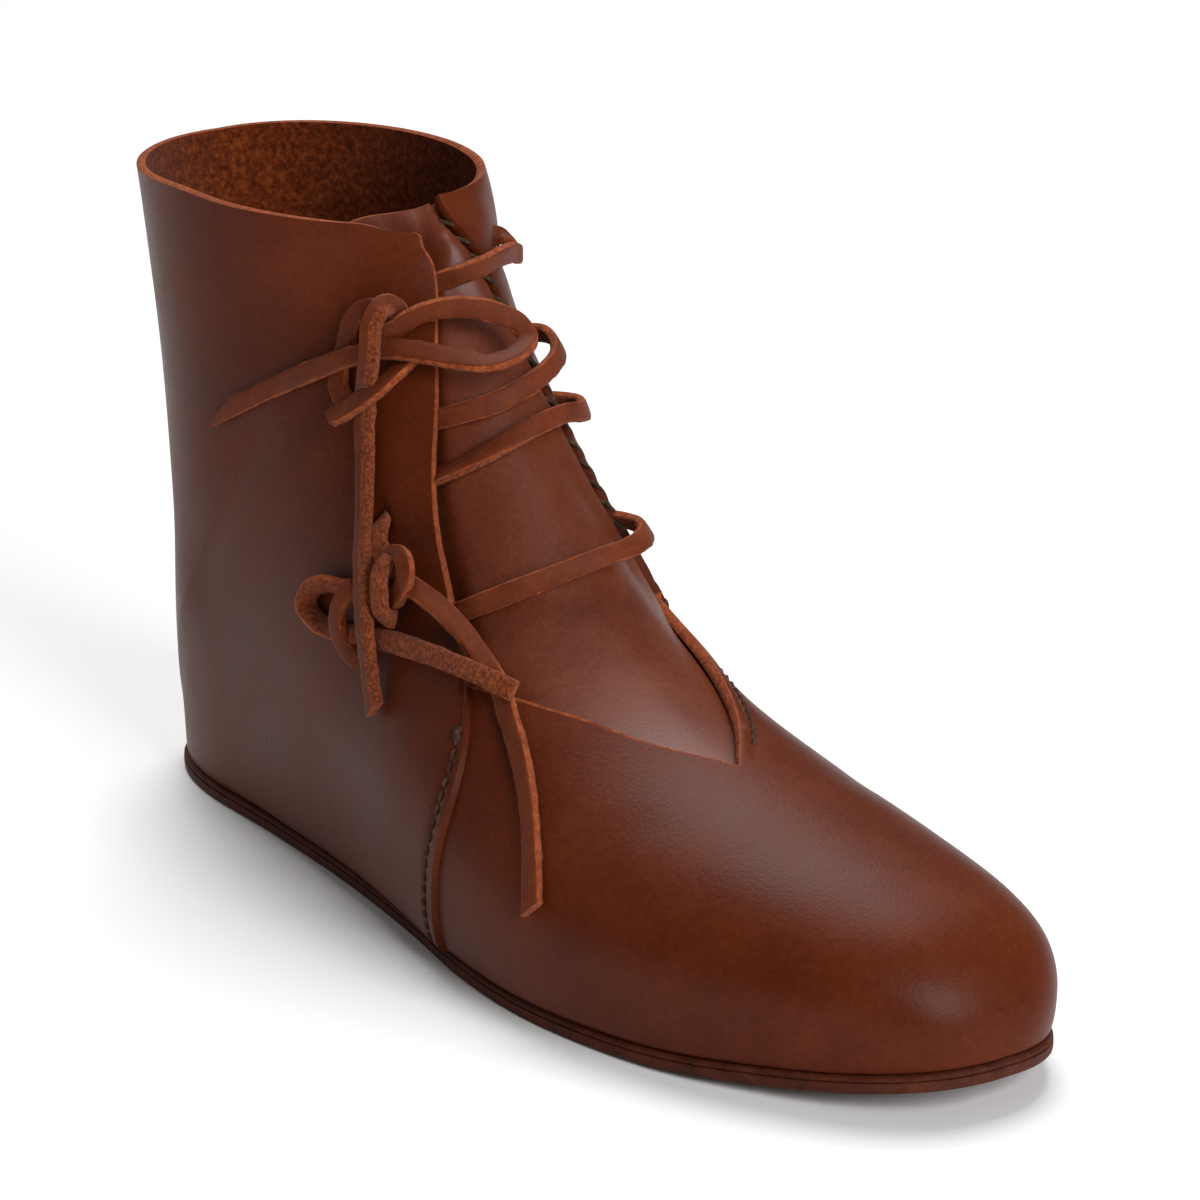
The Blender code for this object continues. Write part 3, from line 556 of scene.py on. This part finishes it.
def add_thong(patches, route, seed, width=THONG_WIDTH, thickness=THONG_THICKNESS, tip=None, split=False):
    """Add a strip along a route. Its grain side is smooth, its flesh side and edges are rough.

    Tip is a pointed end, or one cut on a slant. A split strip shows flesh on half of its outer face.
    """
    points, along, facing = route_line(route)
    wide = np.cross(along, facing)
    angle = np.linspace(0, 2 * math.pi, THONG_SIDES, endpoint=False) + math.pi / THONG_SIDES
    power = 2 / THONG_SQUARE
    x = np.sign(np.cos(angle)) * np.abs(np.cos(angle)) ** power * width / 2
    y = np.sign(np.sin(angle)) * np.abs(np.sin(angle)) ** power * thickness / 2
    left = np.linalg.norm(points - points[-1], axis=1)[:, None]
    random = np.random.default_rng(seed)
    ragged = random.normal(0, THONG_RAGGED, (len(points) + 2, THONG_SIDES))
    ragged = (ragged[:-2] + ragged[1:-1] + ragged[2:]) / 3
    on_grain = (y > GRAIN_FACE * thickness / 2) & ~(split & (x < SPLIT_AT * width))
    rough = np.where(on_grain, GRAIN_RAGGED, 1.0)
    uneven = 1 + THONG_UNEVEN * np.sin(np.arange(len(points)) / UNEVEN_RUN + seed)[:, None]
    across = x * uneven + ragged * rough
    forward = np.zeros_like(across)
    near_tip = np.clip(1 - left / THONG_TIP, 0, 1)
    if tip == "pointed":
        narrowed = np.clip(POINT_WIDTH + (1 - POINT_WIDTH) * left / THONG_TIP, POINT_WIDTH, 1.0)
        across = across * narrowed - POINT_LEAN * width / 2 * near_tip
    elif tip == "slanted":
        forward = THONG_SLANT * x / width * near_tip
    rings = (points[:, None] + wide[:, None] * across[..., None] + along[:, None] * forward[..., None]
             + facing[:, None] * (y + ragged * rough)[..., None])
    closed = np.concatenate((rings, rings[:, :1]), axis=1)
    middle_x = (x + np.roll(x, -1)) / 2
    middle_y = (y + np.roll(y, -1)) / 2
    flesh = (middle_y < 0) | (split & (middle_x < SPLIT_AT * width))
    names = np.where(flesh, "thong_flesh", "thong_grain")
    names = np.where((np.abs(middle_x) > CUT_FACE * width / 2) & ~flesh, "cut_edge", names)
    numbers = np.array([patches.finishes.index(name) for name in names])
    patches.add(closed, np.broadcast_to(numbers, (len(points) - 1, THONG_SIDES)))
    for ring in (rings[0], rings[-1]):
        patches.add_cap(ring, "cut_edge")
    return points


THONG_FINISHES = ["thong_grain", "thong_flesh", "cut_edge"]


def make_thong(name, routes, replaces, **shape):
    """One piece from one or more strips. Returns it with the middle line of its first strip."""
    patches = Patches(name, THONG_FINISHES)
    lines = [add_thong(patches, route, len(name) + k, **shape) for k, route in enumerate(routes)]
    return patches.build(replaces), lines[0]


def make_thongs():
    """Both knots, the loops and ends that leave them, and the bars across the tongue."""
    upper_knot, _ = make_thong("thong_upper_knot", (UPPER_RING, UPPER_SHORT),
                               ("lace_upper_knot", "lace_upper_end_short"), tip="slanted")
    lower_knot, _ = make_thong("thong_lower_knot", (LOWER_RING_LEFT, LOWER_RING_RIGHT, LOWER_SIDE),
                               ("lace_lower_knot",), width=LOWER_KNOT_WIDTH,
                               thickness=LOWER_KNOT_THICKNESS)
    made, line = make_thong("thong_upper_loop", (UPPER_LOOP,),
                            ("lace_upper_loop", "lace_upper_end_left"), tip="pointed")
    made, line = make_thong("thong_upper_end", (UPPER_LONG,), ("lace_upper_end_long",),
                            width=UPPER_END_WIDTH, tip="slanted", split=True)
    made, line = make_thong("thong_lower_end", (LOWER_END,), ("lace_lower_end",), tip="slanted")
    made, line = make_thong("thong_lower_loop", (LOWER_LOOP,), ("lace_lower_loop",),
                            thickness=LOWER_LOOP_THICKNESS)
    for name, route in BARS.items():
        make_thong(name, (route,), (name.replace("thong", "lace"),))


# Upper: vamp and quarter. A place on it is a grid row and a climb from the base (0) to the edge (1).
EDGE_STEPS = 5
EDGE_BULGE = 0.35 * MM
EDGE_LINE = 0.004
LAP_FADE = 0.2
# The outer flap's front edge is trimmed by these shares at grid rows. Its top corner is rounded by a share,
# and it drops by some sections where the share is under a limit.
FLAP_TRIM = ((7.8, 0.0), (8.6, -0.010), (9.5, -0.028), (10.2, -0.026), (11.0, -0.002), (12.0, 0.022),
             (14.0, 0.026), (19.0, 0.026))
FLAP_CORNER = 0.020
CORNER_DROP, CORNER_FROM, CORNER_RUN = 1.3, 0.190, 0.130
# Rows around one place near the heel section are evened out, apart from those at the base.
EVENING_STEPS, EVENING_SHARE = 60, 0.5
EVENING_AT, EVENING_HALF, EVENING_FADE = HEEL - 0.2, 0.6, 0.08

# Soft ridges (height over 0) and troughs, along lines of section number and share, sizes in mm
CREASE_COLUMNS = ("side", "height", "half_width", "line")
CREASE_POINTS = 16
CREASES = (
    (OUTER, 1.0, 10.0, ((13.7, 0.10), (13.7, 0.15), (13.0, 0.22), (13.0, 0.30), (13.6, 0.40))),
    (INNER, 1.0, 10.0, ((13.5, 0.02), (13.9, 0.13), (13.0, 0.22), (13.0, 0.30), (13.6, 0.40))),
    (OUTER, 1.5, 13.0, ((13.3, 0.70), (13.6, 0.82), (13.9, 0.90))),
    (INNER, 1.5, 13.0, ((13.3, 0.70), (13.6, 0.82), (13.9, 0.90))),
    (OUTER, -0.25, 9.0, ((11.6, 0.40), (12.4, 0.50), (12.8, 0.62))),
    (INNER, -0.30, 9.0, ((11.4, 0.40), (12.4, 0.50), (12.8, 0.62))),
    (INNER, -0.35, 3.5, ((17.2, 0.06), (17.6, 0.14), (17.5, 0.24))),
    (INNER, -0.30, 3.0, ((16.2, 0.08), (16.8, 0.17), (16.9, 0.26))),
    (OUTER, -0.20, 5.0, ((4.6, 0.24), (4.8, 0.36), (4.7, 0.48))),
    (INNER, -0.20, 5.0, ((4.5, 0.22), (4.7, 0.36), (4.6, 0.50))),
)
# Slits the thongs pass through, half widths in mm
SLIT_COLUMNS = ("side", "at", "down", "half_width")
SLITS = (
    (OUTER, 8.84, 0.331, 3.4),
    (INNER, 15.8, 0.225, 2.4),
    (INNER, 10.05, 0.205, 2.4),
    (INNER, 9.40, 0.255, 2.4),
    (INNER, 8.10, 0.260, 2.4),
)
SLIT_DEPTH, SLIT_RIM = 2.0 * MM, 1.25
# Grooves the stitches lie in, and the rolled inner edge of the V
GROOVE_DEPTH, GROOVE_HALF, GROOVE_FADE = 0.40 * MM, 1.1 * MM, 0.06
STITCH_BEHIND = 4.0 * MM
V_STITCH_IN, V_GROOVE_HALF = 4.2 * MM, 1.2 * MM
V_ROLL, V_ROLL_IN, V_ROLL_HALF, V_FADE = 0.7 * MM, 1.4 * MM, 1.3 * MM, 0.3
# Steps over which distances on the leather are measured
SMALL_ROW, SMALL_CLIMB, SMALL_SHARE = 0.05, 0.02, 0.02
FAR = 1.0


def upper_places(side, row, climb):
    """Section numbers, shares down from the ridge and lap heights of places on the upper."""
    row, climb = np.broadcast_arrays(np.asarray(row, float), np.asarray(climb, float))
    top = edge(side, cut(side, swung(side, row, np.ones_like(row)), np.zeros_like(row)))
    on_shaft = np.clip((row - HEEL) / (COLLAR - HEEL), 0, 1)
    if side == OUTER:
        trim = np.where(row < FLAP_TRIM[0][0], 0.0, hermite(*zip(*FLAP_TRIM), row))
        top = top + trim + FLAP_CORNER * (1 - np.sqrt(1 - on_shaft ** 2))
    v = 1 - climb * (1 - top)
    at = cut(side, swung(side, row, climb), v)
    if side == OUTER:
        at = at - CORNER_DROP * on_shaft * smooth((CORNER_FROM - v) / CORNER_RUN)
    lap = lap_height(side, row) * smooth(climb / LAP_FADE)
    return at, v, lap


def on_upper(side, row, climb, height=0.0):
    """Points at a height over the upper's outer side."""
    at, v, lap = upper_places(side, row, climb)
    return lifted(at, side, v, lap + height)


def behind_seam(side, climb, distance):
    """Grid rows a distance behind the side seam's lapped edge."""
    first = SEAM_FOOT[side] + SEAM_HALF_WIDTH
    step = on_upper(side, first + SMALL_ROW, climb) - on_upper(side, first, climb)
    per_row = np.linalg.norm(step, axis=-1) / SMALL_ROW
    return first + distance / per_row


def inside_edge(side, row, distance):
    """Climbs a distance inside the opening's edge."""
    step = on_upper(side, row, 1.0) - on_upper(side, row, 1.0 - SMALL_CLIMB)
    per_climb = np.linalg.norm(step, axis=-1) / SMALL_CLIMB
    return 1 - distance / np.maximum(per_climb, MM)


def inner_width(at, v):
    """Metres on the inner side for a whole share, measured at sections and shares."""
    step = skin(at, INNER, v + SMALL_SHARE) - skin(at, INNER, v)
    return np.linalg.norm(step, axis=-1) / SMALL_SHARE


def bell(gap, half_width):
    """Soft bump of height 1 over a gap from its middle."""
    return np.exp(-(gap / half_width) ** 2)


def from_line(points, line):
    """Distances of points from a line through a few places."""
    best = np.full(points.shape[:-1], FAR)
    for start, stop in zip(line, line[1:]):
        run = stop - start
        share = np.clip((points - start) @ run / (run @ run), 0, 1)
        gap = np.linalg.norm(points - start - share[..., None] * run, axis=-1)
        best = np.minimum(best, gap)
    return best


def relief(side, row, climb, points):
    """Creases, stitch grooves, slits and the rolled edge of the V, as heights over the upper."""
    height = np.zeros(points.shape[:-1])
    for crease in CREASES:
        fold = dict(zip(CREASE_COLUMNS, crease))
        if fold["side"] == side:
            at, v = np.array(fold["line"]).T
            knots = np.arange(len(at))
            fine = np.linspace(0, len(at) - 1, CREASE_POINTS)
            line = skin(hermite(knots, at, fine), side, hermite(knots, v, fine))
            height += fold["height"] * MM * bell(from_line(points, line), fold["half_width"] * MM)
    for slit_row in SLITS:
        slit = dict(zip(SLIT_COLUMNS, slit_row))
        if slit["side"] == side:
            gap = np.linalg.norm(points - skin(slit["at"], side, slit["down"]), axis=-1)
            height -= SLIT_DEPTH * smooth(SLIT_RIM - gap / (slit["half_width"] * MM))
    groove = behind_seam(side, climb, STITCH_BEHIND)
    gap = (row - groove) * STITCH_BEHIND / (groove - SEAM_FOOT[side] - SEAM_HALF_WIDTH)
    height -= GROOVE_DEPTH * bell(gap, GROOVE_HALF) * smooth(climb / GROOVE_FADE)
    if side == INNER:
        inside = (1 - climb) * V_STITCH_IN / (1 - inside_edge(side, row, V_STITCH_IN))
        on_v = smooth((row - V_POINT) / V_FADE) * (row < SEAM_FOOT[side])
        height += on_v * V_ROLL * bell(inside - V_ROLL_IN, V_ROLL_HALF)
        height -= on_v * GROOVE_DEPTH * bell(inside - V_STITCH_IN, V_GROOVE_HALF)
    return height


def evened(points, rows, climb):
    """Points with the rows beside the heel section spread evenly, but the base kept as it is."""
    near = bell(rows - EVENING_AT, EVENING_HALF)[:, None, None] * smooth(climb / EVENING_FADE)[..., None]
    points = points.copy()
    for _ in range(EVENING_STEPS):
        middle = (points[:-2] + points[2:]) / 2
        points[1:-1] += EVENING_SHARE * near[1:-1] * (middle - points[1:-1])
    return points


def rounded(first, second, away):
    """Rows of a cut edge from one surface to the other, bulging a little away from the leather."""
    share = np.linspace(0, 1, EDGE_STEPS + 1)[:, None, None]
    bulge = np.sin(math.pi * share) * EDGE_BULGE
    return first + (second - first) * share + bulge * away


def make_upper():
    """Both halves of the upper: grain outside, flesh inside, and the cut edges between them."""
    rows = grid_rows()
    heel_row = int(np.argmin(np.abs(rows - HEEL)))
    v_row = int(np.argmin(np.abs(rows - V_POINT)))
    patches = Patches("upper_fine", ["upper_grain", "upper_flesh", "cut_edge"])
    climb = np.append(np.linspace(0, 1 - EDGE_LINE, HALF_COLUMNS), 1.0)[None]
    for side in (OUTER, INNER):
        seam_row = int(np.searchsorted(rows, SEAM_FOOT[side]))
        at, v, lap = upper_places(side, rows[:, None], climb)
        flat = lifted(at, side, v, lap)
        out = flat + relief(side, rows[:, None], climb, flat)[..., None] * outward(at, side, v)
        out = evened(out, rows, climb)
        back = evened(lifted(at, side, v, np.full_like(v, -WALL)), rows, climb)
        # The narrow last column shows the cut, but not where the inner edge is sewn to the tongue.
        numbers = np.zeros((len(rows) - 1, HALF_COLUMNS), int)
        numbers[v_row:, -1] = patches.finishes.index("cut_edge")
        if side == INNER:
            numbers[seam_row:, -1] = patches.finishes.index("upper_grain")
        patches.add(out, numbers)
        patches.add(back, "upper_flesh")
        patches.add(np.stack((out[:heel_row + 1, 0], back[:heel_row + 1, 0])), "cut_edge")
        away = unit(out[:, -1] - out[:, -3])
        brim = rounded(out[:, -1], back[:, -1], away)
        patches.add(brim[:, v_row:seam_row + 1], "cut_edge")
        patches.add(brim[:, seam_row:], "cut_edge" if side == OUTER else "upper_grain")
        away = unit(out[-1] - out[-2])
        patches.add(rounded(out[-1], back[-1], away), "cut_edge")
    return patches.build(("upper",))


# Tongue: it dips under the outer flap, and rises beside the inner one to a butted seam with a groove.
# Both set in over some sections, from a first one.
TONGUE_DIP = 2.4 * MM
DIP_BEFORE, DIP_RUN = 0.05, 0.07
DIP_FIRST, DIP_SECTIONS = 6.0, 1.2
SEAM_DROP = 0.8 * MM
BUTT_FIRST, BUTT_SECTIONS = 6.8, 0.8
SEAM_RUN_OUT, SEAM_RUN_IN = (4.0 * MM, 14.0 * MM), (0.5 * MM, 2.0 * MM)


def make_tongue():
    """Tongue from its hidden front end to its top, with cut edges all round."""
    share = np.linspace(0, 1, TONGUE_COLUMNS + 1)[None]
    climb = np.linspace(0, 1, TONGUE_ROWS + 1)[:, None]
    row = TONGUE_FRONT + (COLLAR - TONGUE_FRONT) * climb
    reach = {s: edge(s, row) + hermite(TONGUE_PLACES, TONGUE_TUCK[s], row) for s in (OUTER, INNER)}
    across = -reach[OUTER] + (reach[OUTER] + reach[INNER]) * share
    side = np.where(across < 0, OUTER, INNER)
    top = TONGUE_TOP[OUTER] + (TONGUE_TOP[INNER] - TONGUE_TOP[OUTER]) * share
    u = TONGUE_FRONT + (top - TONGUE_FRONT) * climb
    lapped = smooth((DIP_BEFORE - across - edge(OUTER, u)) / DIP_RUN)
    depth = TONGUE_DEPTH + TONGUE_DIP * lapped * smooth((u - DIP_FIRST) / DIP_SECTIONS)
    off_seam = (edge(INNER, u) - across) * inner_width(u, edge(INNER, u))
    near = smooth((SEAM_RUN_OUT[1] - off_seam) / (SEAM_RUN_OUT[1] - SEAM_RUN_OUT[0]))
    clear = smooth((off_seam - SEAM_RUN_IN[0]) / (SEAM_RUN_IN[1] - SEAM_RUN_IN[0]))
    butted = near * clear * smooth((u - BUTT_FIRST) / BUTT_SECTIONS)
    depth = depth - (TONGUE_DEPTH - SEAM_DROP) * butted
    out = lifted(u, side, np.abs(across), -depth)
    back = lifted(u, side, np.abs(across), -depth - TONGUE_THICKNESS)
    patches = Patches("tongue_fine", ["tongue_grain", "upper_flesh", "cut_edge"])
    patches.add(out, "tongue_grain")
    patches.add(back, "upper_flesh")
    for end, beside in ((0, 1), (-1, -2)):
        away = unit(out[:, end] - out[:, beside])
        patches.add(rounded(out[:, end], back[:, end], away), "cut_edge")
    for end, beside in ((0, 1), (-1, -2)):
        away = unit(out[end] - out[beside])
        patches.add(rounded(out[end], back[end], away), "cut_edge")
    return patches.build(("tongue",))


# Stitches: waxed thread, one short arch each
THREAD_RADIUS = 0.50 * MM
THREAD_ARCH = 0.50 * MM
THREAD_SINK = 0.5 * MM
THREAD_RINGS, THREAD_SIDES = 9, 8


def add_stitch(patches, start, stop, rise, radius=THREAD_RADIUS):
    """One stitch from start to stop, arched along the direction rise, with both ends in the leather."""
    share = np.linspace(0, 1, THREAD_RINGS)[:, None]
    height = (THREAD_ARCH + THREAD_SINK) * np.sin(math.pi * share) - THREAD_SINK
    points = start + (stop - start) * share + height * rise
    along = unit(np.gradient(points, axis=0))
    wide = unit(np.cross(along, rise))
    deep = np.cross(along, wide)
    angle = np.linspace(0, 2 * math.pi, THREAD_SIDES + 1)[None, :, None]
    rings = points[:, None] + radius * (np.cos(angle) * wide[:, None] + np.sin(angle) * deep[:, None])
    patches.add(rings, "thread")
    for ring in (rings[0, :-1], rings[-1, :-1]):
        patches.add_cap(ring, "thread")


def spaced(line, pitch):
    """Shares of the way along a line at which stitches of one pitch start."""
    runs = np.append(0, np.cumsum(np.linalg.norm(np.diff(line, axis=0), axis=1)))
    count = int(runs[-1] / pitch)
    return np.interp(np.arange(count + 1) * pitch, runs, np.linspace(0, 1, len(line)))


# Rows of stitches: pitch and reach of each, and the share of the pitch that a stitch fills or slants over
SIDE_PITCH = 3.3 * MM
SIDE_CLIMB = {OUTER: (0.05, 0.93), INNER: (0.05, 0.95)}
V_PITCH = 3.6 * MM
V_ROWS = (V_POINT + 0.2, SEAM_FOOT[INNER] - 0.1)
STITCH_FILL = 0.82
KNOT_HALF, KNOT_RADIUS, KNOT_LEAN = 2.0 * MM, 0.75 * MM, 0.55
FLAP_PITCH, FLAP_SLANT, FLAP_STITCH_IN = 5.4 * MM, 0.75, 2.2 * MM
FLAP_ROWS = (SEAM_FOOT[INNER] + 0.25, COLLAR - 0.4)
RUNNING_POINTS, FLAP_POINTS = 200, 300


def beside_seam(side, climb):
    """Places in the groove behind a side seam, as grid rows and climbs."""
    return behind_seam(side, climb, STITCH_BEHIND), climb


def beside_v(side, row):
    """Places in the groove beside the V's edge, as grid rows and climbs."""
    return row, inside_edge(side, row, V_STITCH_IN)


def add_running(patches, side, places, span, pitch):
    """Running stitches in a groove, between two climbs or rows. Returns the last one's ends and rise."""
    low, high = span
    starts = spaced(on_upper(side, *places(side, np.linspace(low, high, RUNNING_POINTS))), pitch)
    for first, second in zip(starts, starts[1:]):
        ends = np.array((first, first + (second - first) * STITCH_FILL))
        rows, climbs = places(side, low + (high - low) * ends)
        at, v, _ = upper_places(side, rows.mean(), climbs.mean())
        start, stop = on_upper(side, rows, climbs, -GROOVE_DEPTH)
        rise = outward(at, side, v)
        add_stitch(patches, start, stop, rise)
    return start, stop, rise


def make_side_stitches():
    """Running stitches behind each lapped seam, with a knot of two crossed ones at its top."""
    patches = Patches("side_stitches", ["thread"])
    for side in (OUTER, INNER):
        start, stop, rise = add_running(patches, side, beside_seam, SIDE_CLIMB[side], SIDE_PITCH)
        along = unit(stop - start)
        for lean in (-KNOT_LEAN, KNOT_LEAN):
            half = KNOT_HALF * unit(along + lean * np.cross(along, rise))
            add_stitch(patches, stop - half, stop + half, rise, KNOT_RADIUS)
    return patches.build()


def make_edge_stitches():
    """Running stitches beside the V's inner edge, and slanted ones that hold the tongue above it."""
    patches = Patches("edge_stitches", ["thread"])
    add_running(patches, INNER, beside_v, V_ROWS, V_PITCH)
    low, high = FLAP_ROWS
    starts = spaced(on_upper(INNER, np.linspace(low, high, FLAP_POINTS), 1.0), FLAP_PITCH)
    for first, second in zip(starts, starts[1:]):
        rows = low + (high - low) * np.array((first, first + (second - first) * FLAP_SLANT))
        at, v, lap = upper_places(INNER, rows, np.ones(2))
        inset = FLAP_STITCH_IN / inner_width(at, v)
        start = lifted(at[0], INNER, v[0] + inset[0], lap[0])
        stop = lifted(at[1], INNER, v[1] - inset[1], -SEAM_DROP)
        add_stitch(patches, start, stop, outward(at[0], INNER, v[0]))
    return patches.build()


# Sole and insole
INSOLE_THICKNESS = 2.0 * MM
INSOLE_INSET = 3.2 * MM
INSOLE_BEVEL_IN, INSOLE_BEVEL_DOWN = 0.6 * MM, 0.5 * MM
# The sole's edge from the bottom up, in mm: how far it stands out past the sole's margin, and its height
SOLE_LEVELS = (
    (-0.9, 0.0), (-0.35, 0.10), (-0.08, 0.45), (0.0, 1.0), (0.0, 2.1), (-0.10, 2.45), (-0.55, 2.6),
    (-0.55, 2.75), (-0.16, 2.9), (-0.08, 3.1), (-0.25, 3.45), (-0.7, 3.8), (-1.4, 4.0))


def foot_outline(stations, side, margin):
    """Points of the sole edge, a margin outside the feather line, with the toe's lift as Z."""
    def plan(at):
        here = section(at)
        foot = np.maximum(here["outer_foot"] if side == OUTER else here["inner_foot"], 0)
        return np.stack((here["swing"] + side * foot, LENGTH / 2 - here["base_along"]), -1)

    small = 0.01
    run = plan(np.minimum(stations + small, HEEL)) - plan(np.maximum(stations - small, 0))
    away = side * np.stack((run[:, 1], -run[:, 0]), -1)
    away[0] = (0.0, -1.0)
    away[-1] = (0.0, 1.0)
    outline = plan(stations) + margin * unit(away)
    return np.concatenate((outline, section(stations)["base_up"][:, None]), -1) - BOX_MIDDLE


def make_sheet(name, levels, finish, node_name):
    """Flat sheet with the foot's outline. Each level is a margin and a height, from the bottom up."""
    stations = HEEL * (1 - np.cos(np.linspace(0, math.pi, SOLE_STATIONS + 1))) / 2
    patches = Patches(name, [finish])
    loops = {}
    for side in (OUTER, INNER):
        rings = [foot_outline(stations, side, margin) + (0, 0, height) for margin, height in levels]
        loops[side] = np.stack(rings)
        patches.add(loops[side], finish)
    share = np.linspace(0, 1, SOLE_COLUMNS + 1)[None, :, None]
    for level in (0, -1):
        first, second = loops[OUTER][level][:, None], loops[INNER][level][:, None]
        patches.add(first + (second - first) * share, finish)
    return patches.build((node_name,))


def make_sole():
    """Sole with a groove round its edge."""
    levels = [(SOLE_MARGIN + margin * MM, height * MM) for margin, height in SOLE_LEVELS]
    make_sheet("sole_fine", levels, "sole_grain", "sole")


def make_insole():
    """Insole with a bevelled edge, inside the upper."""
    low, high = FEATHER_HEIGHT, FEATHER_HEIGHT + INSOLE_THICKNESS
    levels = ((-INSOLE_INSET, low), (-INSOLE_INSET, high - INSOLE_BEVEL_DOWN),
              (-INSOLE_INSET - INSOLE_BEVEL_IN, high))
    make_sheet("insole_fine", levels, "insole_flesh", "insole")


# Studio
FLOOR_HALF = 6.0
FLOOR_COLOUR = (0.92, 0.92, 0.92, 1)
FLOOR_ROUGHNESS = 0.7


def make_floor():
    """Plain pale floor."""
    data = bpy.data.meshes.new("floor")
    h = FLOOR_HALF
    data.from_pydata([(-h, -h, 0), (h, -h, 0), (h, h, 0), (-h, h, 0)], [], [(0, 1, 2, 3)])
    white = bpy.data.materials.new("floor_white")
    white.use_nodes = True
    shader = white.node_tree.nodes["Principled BSDF"]
    shader.inputs["Base Color"].default_value = FLOOR_COLOUR
    shader.inputs["Roughness"].default_value = FLOOR_ROUGHNESS
    data.materials.append(white)
    made = bpy.data.objects.new("floor", data)
    bpy.context.collection.objects.link(made)


LIGHT_COLUMNS = ("name", "kind", "place", "size", "power")
# Size and power are metres and watts of a softbox, or degrees of sky and strength of the light from above.
LIGHTS = (
    ("light_top", "SUN", (0.28, 0.50, 1.05), 40.0, 2.8),
    ("light_left", "AREA", (-1.0, 1.3, 0.8), 0.6, 1.2),
    ("light_front", "AREA", (0.10, -1.7, 1.0), 1.0, 32.0),
)
LIGHT_TARGET = Vector((0, 0, 60 * MM))
SURROUND = 0.16


def make_lights():
    """Lights turned to the shoe, in a faint white surround."""
    for row in LIGHTS:
        light = dict(zip(LIGHT_COLUMNS, row))
        data = bpy.data.lights.new(light["name"], light["kind"])
        data.energy = light["power"]
        if light["kind"] == "SUN":
            data.angle = math.radians(light["size"])
        else:
            data.size = light["size"]
        made = bpy.data.objects.new(light["name"], data)
        made.location = light["place"]
        made.rotation_euler = (LIGHT_TARGET - made.location).to_track_quat("-Z", "Y").to_euler()
        bpy.context.collection.objects.link(made)
    world = bpy.data.worlds.new("studio")
    world.use_nodes = True
    backdrop = world.node_tree.nodes["Background"]
    backdrop.inputs["Color"].default_value = (1, 1, 1, 1)
    backdrop.inputs["Strength"].default_value = SURROUND
    bpy.context.scene.world = world
    bpy.context.scene.view_settings.view_transform = "Standard"


make_camera()
make_thongs()
make_upper()
make_side_stitches()
make_edge_stitches()
make_tongue()
make_sole()
make_insole()
make_floor()
make_lights()
